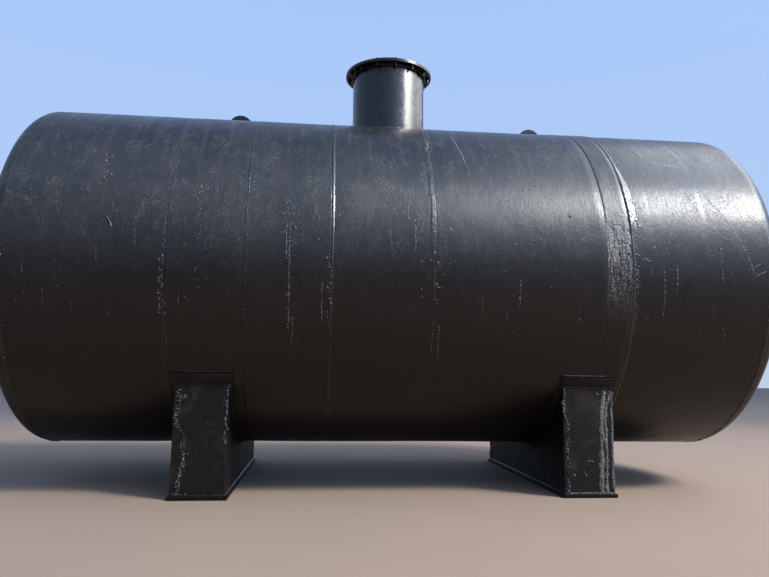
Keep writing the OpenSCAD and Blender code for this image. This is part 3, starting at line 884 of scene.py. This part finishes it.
def make_saddle_detail():
    marks = {"crust": Mesh(), "ridge": Mesh(), "dark": Mesh()}
    rng = np.random.default_rng(81)
    for xc, beads, name in ((-SADDLE_X, LEFT_BEADS, "left"), (SADDLE_X, RIGHT_BEADS, "right")):
        for side in (-1, 1):
            place = on_front(xc, side)
            for i, (pts, w, h, share, kind) in enumerate(beads):
                q = np.array(pts, float) / 1000
                q[:, 0] *= -side if side > 0 else 1
                p = resample(q, 0.0045, 0.0022, i + (50 if side > 0 else 0) + (10 if xc > 0 else 0))
                n = len(p)
                on = broken(n, i + (7 if side > 0 else 0) + (20 if xc > 0 else 0), share)
                jag = 1 + 0.35 * rng.uniform(-1, 1, n)
                m = marks["ridge" if kind == "ridge" else "dark"]
                ribbon(m, p, w / 1000 * (0.35 + 0.65 * on) * jag, h / 1000 * on * (1 + 0.25 * rng.uniform(-1, 1, n)), place, k=7, lump=0.55, grain=0.008, seed=100 + i)
                if kind == "ridge":
                    c = crumbs(p, 0.0012, w / 1000 * 0.30, rng, 0.05)
                    c[:, 1] = np.maximum(c[:, 1], 0.012)
                    granules(marks["ridge"], c[:, 0], c[:, 1], rng.gamma(3, 0.0006, len(c)) + 0.0010, lambda a, b, d, k=h: place(a, b, d + 0.0004 * k), rng, flat=(0.4, 0.9), long=(1.0, 2.4), sink=0.003)
                elif kind == "crust":
                    c = crumbs(p, 0.0022, w / 1000 * 0.28, rng, 0.30)
                    c[:, 1] = np.maximum(c[:, 1], 0.012)
                    granules(marks["crust"], c[:, 0], c[:, 1], rng.gamma(3, 0.0009, len(c)) + 0.0010, place, rng, flat=(0.5, 1.0), sink=0.002)
            # loose spatter on the plate
            k = 50
            granules(marks["crust"], rng.uniform(-0.14, 0.14, k), rng.uniform(0.05, 0.62, k), rng.gamma(2.5, 0.0005, k) + 0.0006, place, rng)
            # weld of the box top to the wear plate
            zt = AX - math.sqrt((R + WEAR_T) ** 2 - (BOX_L / 2) ** 2)
            p = resample([(-BOX_W / 2 + 0.004, zt - 0.001), (BOX_W / 2 - 0.004, zt - 0.001)], 0.0045, 0.0, 0)
            p[:, 1] += 0.0012 * rng.uniform(-1, 1, len(p))
            ribbon(marks["dark"], p, 0.013 * (1 + 0.2 * rng.uniform(-1, 1, len(p))), 0.0045, place, k=7, lump=0.4, seed=140, power=0.7)
            # weld of the box to its base plate
            p = resample([(-BOX_W / 2 + 0.002, BASE_T + 0.003), (BOX_W / 2 - 0.002, BASE_T + 0.003)], 0.005, 0.0, 0)
            ribbon(marks["dark"], p, 0.014 * (1 + 0.25 * rng.uniform(-1, 1, len(p))), 0.0055, place, k=7, lump=0.5, seed=141)
        # webs: corner welds and base welds on their outer faces
        for face in (-1, 1):
            place = on_web(xc + face * BOX_W / 2, face)
            for side in (-1, 1):
                zt = AX - math.sqrt((R + WEAR_T) ** 2 - (BOX_L / 2 - 0.006) ** 2)
                p = resample([(side * (BOX_L / 2 - 0.010), BASE_T + 0.01), (side * (BOX_L / 2 - 0.010), zt - 0.004)], 0.006, 0.0015, 5)
                ribbon(marks["dark"], p, 0.014 * (1 + 0.2 * rng.uniform(-1, 1, len(p))), 0.0030 * (1 + 0.2 * rng.uniform(-1, 1, len(p))), place, k=5, lump=0.4, seed=150)
            p = resample([(-BOX_L / 2 + 0.01, BASE_T + 0.003), (BOX_L / 2 - 0.01, BASE_T + 0.003)], 0.012, 0.0, 0)
            ribbon(marks["dark"], p, 0.014, 0.0065, place, k=5, lump=0.4, grain=0.014, seed=151)
    marks["dark"].finish("saddle_beads", MAT["saddle"], "saddle_coat")
    marks["crust"].finish("saddle_crust", MAT["sbead"], "saddle_coat")
    marks["ridge"].finish("saddle_ridges_dried_and_glint", MAT["ridge"], "saddle_coat")

    # fillets along the edges of the wear plates
    m = Mesh()
    a = math.pi - WEAR_A
    for xc in (-SADDLE_X, SADDLE_X):
        for e in (-1, 1):
            if xc > 0 and e > 0:
                continue
            b = np.arange(a - 0.004, TAU - a + 0.004, 0.007 / R) * R
            p = np.stack([np.full(len(b), xc + e * (WEAR_W / 2 + 0.004)), b], 1)
            ribbon(m, p, 0.018, 0.0060 * taper(len(b), 0.02, 0.4), on_shell, k=5, lump=0.3, seed=160)
        for sgn in (-1, 1):
            x = np.arange(xc - WEAR_W / 2 - 0.002, xc + WEAR_W / 2 + 0.002, 0.006)
            p = np.stack([x, np.full(len(x), sgn * (a * R - 0.005))], 1)
            tall = (0.0080 if xc > 0 else 0.0050) * (1 + 0.25 * rng.uniform(-1, 1, len(x)))
            ribbon(m, p, 0.015, tall * taper(len(x), 0.04, 0.4), on_shell, k=7, lump=0.3, seed=161)
    m.finish("wear_plate_welds", MAT["saddle"], "saddle_coat")


def bevel_nodes():
    for name, o in NODES.items():
        if name.startswith(("shell", "head", "joint", "manway_neck")):
            continue
        w = o.modifiers.new("merge", "WELD")
        w.merge_threshold = 0.00005
        b = o.modifiers.new("edge", "BEVEL")
        b.width = {"manway": 0.0014, "liftin": 0.0035}.get(name[:6], 0.0020)
        b.segments = 3
        b.limit_method = "ANGLE"
        b.angle_limit = math.radians(40)
        b.harden_normals = True


# ---------------------------------------------------------------- marks in the coat
def make_marks():
    rng = np.random.default_rng(91)
    d = math.radians
    # thin runs of paint that end in a drop
    m = Mesh()
    runs = [(-0.655, 81, 110, 4.5, 1.3), (-0.672, 80, 90, 3.5, 1.0), (-0.630, 108, 116, 4.0, 1.0), (0.20, 110, 122, 4.0, 1.0), (0.66, 96, 104, 3.0, 0.9), (1.52, 92, 108, 3.5, 1.0), (1.60, 90, 98, 3.0, 1.0), (1.88, 84, 96, 3.0, 1.0), (-1.32, 104, 118, 4.5, 1.2), (0.05, 78, 88, 3.0, 0.8), (-0.47, 98, 110, 3.5, 0.9)]
    runs = [(x, a, b, w, h, 1) for x, a, b, w, h in runs] + [(x + rng.uniform(-0.03, 0.03), a, b, w, h, -1) for x, a, b, w, h in runs]
    for _ in range(90):
        a = rng.uniform(64, 112)
        runs.append((rng.uniform(-2.1, 2.1), a, a + rng.uniform(2, 9), rng.uniform(1.8, 3.4), rng.uniform(0.3, 0.7), rng.choice([-1, 1])))
    for i, (x, a, b, w, h, side) in enumerate(runs):
        if BAND[0] - 0.02 < x < BAND[1] + 0.02:
            continue
        p = resample([(x, d(a) * R), (x + rng.uniform(-0.004, 0.004), d((a + b) / 2) * R), (x + rng.uniform(-0.006, 0.006), d(b) * R)], 0.007, 0.0008, i)
        if side < 0:
            p[:, 1] = -p[:, 1]
        n = len(p)
        body = taper(n, 0.25, 0.1)
        drop = np.exp(-((np.linspace(0, 1, n) - 0.97) * n / 3.0) ** 2)
        gap = 0.25 + 0.75 * (Field(4000 + i, 64, 2)(np.arange(n) / 3.5, 0.5) > -0.35)
        if i < 22:
            ribbon(m, p, w / 1000 * body * (1 + 0.9 * drop), h / 1000 * (body * gap + 1.2 * drop), on_shell, k=5, lump=0.2, seed=200 + i % 40, sink=0.002)
            c = crumbs(p, 0.0045, 0.0016, rng, 0.25)
        else:
            ribbon(m, p, 0.7 * w / 1000 * body, 0.30 * h / 1000 * body * gap, on_shell, k=5, lump=0.2, seed=200 + i % 40, sink=0.002)
            c = crumbs(p, 0.016, 0.0020, rng, 0.35)
        granules(m, c[:, 0], c[:, 1], rng.gamma(3, 0.0006, len(c)) + 0.0010, on_shell, rng, flat=(0.3, 0.7), long=(1.0, 2.2))
    # dotted runs
    for side in (-1, 1):
        for x0, lo, hi, count, wide in ((-1.705, 57, 68, 34, 0.022), (-1.150, 74, 101, 34, 0.007), (-1.155, 68, 80, 30, 0.022), (-0.655, 78, 112, 60, 0.006), (-0.700, 74, 84, 40, 0.030), (-0.640, 76, 92, 30, 0.008), (-0.430, 88, 110, 30, 0.008), (-1.350, 92, 108, 40, 0.004), (0.560, 70, 96, 40, 0.014), (0.180, 84, 104, 26, 0.010), (0.720, 73, 86, 30, 0.035), (0.960, 74, 88, 40, 0.040)):
            deg = rng.uniform(lo, hi, count)
            granules(m, x0 + rng.normal(0, wide, count), side * d(1) * deg * R, rng.gamma(3, 0.0007, count) + 0.0012, on_shell, rng, flat=(0.3, 0.7), long=(0.8, 2.0))
    m.finish("paint_runs", MAT["speck"], "bitumen_coat")

    # curls and ridges left by a lifted skin of paint
    m = Mesh()
    curls = [
        ([(-1.672, 79.6), (-1.655, 80.2), (-1.638, 81.2), (-1.624, 82.4), (-1.614, 83.6)], 13, 3.4),
        ([(-1.690, 80.0), (-1.672, 80.4), (-1.655, 80.2)], 8, 1.8),
        ([(-1.672, 75.4), (-1.650, 76.2), (-1.634, 77.0)], 9, 1.2),
        ([(-1.79, 84.5), (-1.765, 85.0), (-1.75, 86.2)], 6, 1.2),
        ([(0.246, 80.0), (0.256, 80.9), (0.262, 82.4)], 6, 2.0),
        ([(0.775, 64.2), (0.800, 64.6)], 8, 1.8),
        ([(0.700, 66.4), (0.722, 67.0)], 7, 1.5),
        ([(0.975, 57.9), (1.000, 58.3)], 7, 1.5),
        ([(-1.02, 33.0), (-0.99, 32.6), (-0.975, 33.4)], 8, 1.8),
        ([(-0.93, 61.0), (-0.915, 62.5), (-0.885, 62.8)], 7, 1.8),
        ([(1.40, 88.0), (1.43, 89.0), (1.45, 88.6)], 6, 1.6),
        ([(2.02, 92.0), (2.07, 90.2), (2.13, 88.6)], 8, 3.0),
        ([(2.05, 94.2), (2.10, 92.4), (2.16, 91.0)], 7, 2.6),
    ]
    for side in (-1, 1):
        for i, (pts, w, h) in enumerate(curls):
            q = np.array([(x, d(a) * R) for x, a in pts])
            if side < 0:
                q = q * [1, -1] + [rng.uniform(-0.05, 0.05), 0]
                if BAND[0] - 0.06 < q[:, 0].mean() < BAND[1] + 0.06:
                    continue
            p = resample(q, 0.004, 0.0006, i)
            n = len(p)
            ribbon(m, p, w / 1000 * taper(n, 0.3, 0.15), h / 1000 * taper(n, 0.35, 0.1), on_shell, k=7, lump=0.3, seed=300 + i, sink=0.002)
    m.finish("paint_curls", MAT["ring"], "bitumen_coat")

    # scuffs: thin pale smears and long scratches
    m = Mesh()
    scuffs = [
        ([(0.340, 36.5), (0.352, 42.0), (0.372, 49.3), (0.388, 57.7), (0.395, 61.0)], 8, 0.9, 0.7),
        ([(1.520, 39.5), (1.535, 43.0), (1.555, 47.6), (1.590, 51.2), (1.620, 51.4)], 18, 0.9, 0.8),
        ([(1.600, 51.0), (1.650, 51.7), (1.700, 51.6), (1.765, 52.6)], 26, 0.9, 0.7),
        ([(1.585, 49.6), (1.615, 50.2), (1.66, 50.0)], 12, 0.7, 0.5),
        ([(1.845, 64.5), (1.869, 67.6), (1.900, 70.5), (1.932, 73.4), (1.980, 78.3), (2.010, 82.0), (2.047, 87.5), (2.062, 91.0)], 4.5, 1.1, 0.8),
        ([(1.958, 76.0), (1.972, 77.2), (1.990, 78.8)], 10, 1.6, 0.9),
        ([(2.03, 83.0), (2.06, 88.0), (2.08, 93.0)], 3.5, 0.8, 0.6),
        ([(0.15, 30.0), (0.162, 38.0), (0.172, 47.0)], 10, 0.5, 0.4),
    ]
    for side in (-1, 1):
        for i, (pts, w, h, share) in enumerate(scuffs):
            q = np.array([(x, d(a) * R) for x, a in pts])
            if side < 0:
                q = q * [1, -1] + [rng.uniform(-0.04, 0.04), 0]
            p = resample(q, 0.005, 0.0012, 60 + i)
            n = len(p)
            on = broken(n, 60 + i, share, 5.0)
            jag = 1 + 0.4 * rng.uniform(-1, 1, n)
            ribbon(m, p, 0.5 * w / 1000 * taper(n, 0.3, 0.2) * on * jag, 0.6 * h / 1000 * on, on_shell, k=5, lump=0.5, seed=340 + i, sink=0.0015)
            c = crumbs(p, 0.0030 if w > 5 else 0.006, w / 1000 * 0.35, rng, 0.3)
            granules(m, c[:, 0], c[:, 1], rng.gamma(3, 0.0007, len(c)) + 0.0010, on_shell, rng, flat=(0.10, 0.30))
    m.finish("scuffs", MAT["scuff"], "bitumen_coat")

    # grit and bubbles caught in the coat
    m = Mesh()
    clump = Field(92, 60, 60)
    k = 26000
    x, a = rng.uniform(-2.15, 2.15, k), rng.uniform(8, 135, k)
    dens = 0.04 + 0.40 * np.maximum(0, clump(x * 5 + 20, a / 9)) + 0.42 * np.exp(-((a - 77) / 8) ** 2)
    dens = dens * (1 - 0.92 * np.exp(-((a - 65) / 8) ** 2) * (x > -0.5))
    keep = (rng.uniform(0, 1, k) < dens) & ~((x > BAND[0] - 0.09) & (x < BAND[1] + 0.02))
    x, a = x[keep][:6000], a[keep][:6000]
    side = rng.choice([-1, 1], len(x))
    granules(m, x, side * d(1) * a * R, np.minimum(rng.gamma(2.6, 0.0007, len(x)) + 0.0008, 0.0050), on_shell, rng, flat=(0.08, 0.30), long=(0.8, 1.7), sink=0.0003)
    m.finish("grit_specks", MAT["speck"], "bitumen_coat")


# ---------------------------------------------------------------- materials of the plain CAD nodes
def dress():
    for n, o in NODES.items():
        key = "shell" if n.startswith("shell") else "band" if n == "joint_band" else "head" if n.startswith("head") else "neck" if n == "manway_neck" else "cover" if n == "manway_cover" else "flange" if n.startswith("manway") else "lug" if n.startswith("lifting") else "web" if n.endswith(("web", "base_plate")) else "saddle"
        o.data.materials.clear()
        o.data.materials.append(MAT[key])


# ---------------------------------------------------------------- stage and light
def sun_dir(az, el):
    """Direction at an azimuth from the front (-Y) towards the right, and an elevation, in degrees."""
    a, e = math.radians(az), math.radians(el)
    return Vector((math.sin(a) * math.cos(e), -math.cos(a) * math.cos(e), math.sin(e)))


def make_stage():
    me = bpy.data.meshes.new("floor")
    s = 60.0
    me.from_pydata([(-s, -s, 0), (s, -s, 0), (s, s, 0), (-s, s, 0)], [], [(0, 1, 2, 3)])
    floor = bpy.data.objects.new("floor", me)
    bpy.context.scene.collection.objects.link(floor)
    t = Tree("floor_plain")
    tc = t.node("ShaderNodeTexCoord").outputs["Object"]
    n = t.noise(t.scaled(tc, 1.3, 1.3, 1.3), 1.0, 4.0, 0.5)
    c = t.mix(n, (0.187, 0.135, 0.099), (0.208, 0.151, 0.112))
    away = t.node("ShaderNodeVectorMath", {0: tc}, operation="LENGTH").outputs["Value"]
    # painted shade: the floor darkens from 4.5 m out, standing in for shaded ground that the lower shell mirrors
    c = t.mix(t.smooth(away, 4.5, 11.0), c, (0.110, 0.088, 0.072))
    b = t.node("ShaderNodeBsdfPrincipled", {"Base Color": c, "Roughness": 0.85, "Specular IOR Level": 0.2})
    me.materials.append(t.out(b))

    world = bpy.data.worlds.new("world")
    world.use_nodes = True
    nt = world.node_tree
    nt.nodes.clear()
    tc = nt.nodes.new("ShaderNodeTexCoord")
    sep = nt.nodes.new("ShaderNodeSeparateXYZ")
    nt.links.new(tc.outputs["Generated"], sep.inputs[0])
    mr = nt.nodes.new("ShaderNodeMapRange")
    mr.inputs["From Min"].default_value = -0.2
    mr.inputs["From Max"].default_value = 1.0
    nt.links.new(sep.outputs[2], mr.inputs["Value"])
    ramp = nt.nodes.new("ShaderNodeValToRGB")
    e = ramp.color_ramp.elements
    e[0].position, e[0].color = 0.0, (0.30, 0.26, 0.22, 1)
    e[1].position, e[1].color = 1.0, (0.197, 0.300, 0.575, 1)
    for pos, col in ((0.165, (0.52, 0.63, 0.80, 1)), (0.33, (0.45, 0.61, 0.92, 1)), (0.60, (0.39, 0.57, 0.95, 1))):
        k = e.new(pos)
        k.color = col
    nt.links.new(mr.outputs["Result"], ramp.inputs["Fac"])
    # soft glows: a broad blue and a tight white one round the key light, and a faint one high on the left
    last = ramp.outputs["Color"]
    # the low part of the sky is darker on the front side
    low = nt.nodes.new("ShaderNodeMapRange")
    low.interpolation_type = "SMOOTHSTEP"
    for k, v in (("From Min", 0.15), ("From Max", -0.01), ("To Min", 0.0), ("To Max", 0.92)):
        low.inputs[k].default_value = v
    nt.links.new(sep.outputs[2], low.inputs["Value"])
    front = nt.nodes.new("ShaderNodeMapRange")
    front.interpolation_type = "SMOOTHSTEP"
    for k, v in (("From Min", -0.10), ("From Max", -0.60), ("To Min", 0.0), ("To Max", 1.0)):
        front.inputs[k].default_value = v
    nt.links.new(sep.outputs[1], front.inputs["Value"])
    both = nt.nodes.new("ShaderNodeMath")
    both.operation = "MULTIPLY"
    nt.links.new(low.outputs["Result"], both.inputs[0])
    nt.links.new(front.outputs["Result"], both.inputs[1])
    shade = nt.nodes.new("ShaderNodeMix")
    shade.data_type = "RGBA"
    nt.links.new(both.outputs[0], shade.inputs[0])
    rgba = [s for s in shade.inputs if s.type == "RGBA"]
    nt.links.new(last, rgba[0])
    rgba[1].default_value = (0.075, 0.080, 0.105, 1)
    last = [s for s in shade.outputs if s.type == "RGBA"][0]
    for az, el, power, col in ((54, 44, 6.0, (2.0, 2.7, 3.8, 1)), (54, 43, 20.0, (1.5, 1.5, 1.5, 1)), (-50, 62, 14.0, (0.32, 0.44, 0.66, 1))):
        dot = nt.nodes.new("ShaderNodeVectorMath")
        dot.operation = "DOT_PRODUCT"
        nt.links.new(tc.outputs["Generated"], dot.inputs[0])
        dot.inputs[1].default_value = sun_dir(az, el)
        mx = nt.nodes.new("ShaderNodeMath")
        mx.operation = "MAXIMUM"
        nt.links.new(dot.outputs["Value"], mx.inputs[0])
        mx.inputs[1].default_value = 0.0
        pw = nt.nodes.new("ShaderNodeMath")
        pw.operation = "POWER"
        nt.links.new(mx.outputs[0], pw.inputs[0])
        pw.inputs[1].default_value = power
        glow = nt.nodes.new("ShaderNodeMix")
        glow.data_type = "RGBA"
        glow.blend_type = "ADD"
        nt.links.new(pw.outputs[0], glow.inputs[0])
        rgba = [s for s in glow.inputs if s.type == "RGBA"]
        nt.links.new(last, rgba[0])
        rgba[1].default_value = col
        last = [s for s in glow.outputs if s.type == "RGBA"][0]
    bg = nt.nodes.new("ShaderNodeBackground")
    bg.inputs["Strength"].default_value = 1.0
    nt.links.new(last, bg.inputs["Color"])
    o = nt.nodes.new("ShaderNodeOutputWorld")
    nt.links.new(bg.outputs[0], o.inputs["Surface"])
    bpy.context.scene.world = world


def softbox(name, a, b, aim, wide, radiance, color=(1.0, 0.985, 0.95), grid=0.0):
    """A box light whose long side runs from a to b, facing aim; grid is the half angle its light is kept to."""
    a, b, aim = Vector(a), Vector(b), Vector(aim)
    mid = (a + b) / 2
    xd = (b - a).normalized()
    zd = (mid - aim).normalized()
    yd = zd.cross(xd).normalized()
    zd = xd.cross(yd).normalized()
    data = bpy.data.lights.new(name, "AREA")
    data.shape = "RECTANGLE"
    data.size, data.size_y = (b - a).length, wide
    data.energy = radiance * math.pi * data.size * data.size_y
    if grid:
        g = math.radians(grid)
        data.spread = 2 * g
        data.energy *= (math.tan(g) - g) / math.tan(g)
    data.color = color
    o = bpy.data.objects.new(name, data)
    o.matrix_world = Matrix((xd, yd, zd)).transposed().to_4x4()
    o.location = mid
    o.visible_camera = False
    bpy.context.scene.collection.objects.link(o)
    return o


make_camera()
make_stage()


def panel(name, aim, az, el, dist, wide, tall, radiance, color=(1.0, 0.985, 0.95), grid=0.0):
    """A softbox at an azimuth, an elevation and a distance from what it faces, wide along the level and tall across."""
    aim = Vector(aim)
    d = sun_dir(az, el)
    mid = aim + d * dist
    side = Vector((math.cos(math.radians(az)), math.sin(math.radians(az)), 0)) * (wide / 2)
    return softbox(name, mid - side, mid + side, aim, tall, radiance, color, grid)


# the key is far off and small; gridded boxes light the neck and fill the right end
panel("key", (0.4, -0.8, 1.8), 54, 42.5, 22.0, 3.0, 5.0, 152.0)
panel("key_low", (0.4, -0.8, 1.8), 66, 36, 22.0, 3.0, 3.0, 110.0)
for i, (az, power) in enumerate(((52, 36.0), (59, 42.0), (66, 38.0), (74, 28.0), (84, 15.0), (95, 10.0), (108, 7.0), (125, 5.0))):
    panel(f"neck_box_{i + 1}", (0.0, -0.1, 2.74), az, 24, 8.0, 1.0 if i < 6 else 1.8, 1.5, power, (1.0, 0.96, 0.88), grid=8.5 if i < 6 else 11)
panel("right_fill", (2.0, -0.3, 2.0), 104, 50, 6.0, 5.5, 3.8, 7.0, (0.95, 0.98, 1.0), grid=28)

make_courses()
make_heads()
make_rings()
make_band()
make_neck()
make_bolts()
make_lug_welds()
make_saddle_detail()
make_marks()
bevel_nodes()
dress()

sc = bpy.context.scene
sc.view_settings.view_transform = "Standard"
sc.view_settings.look = "None"
sc.view_settings.exposure = 0.0

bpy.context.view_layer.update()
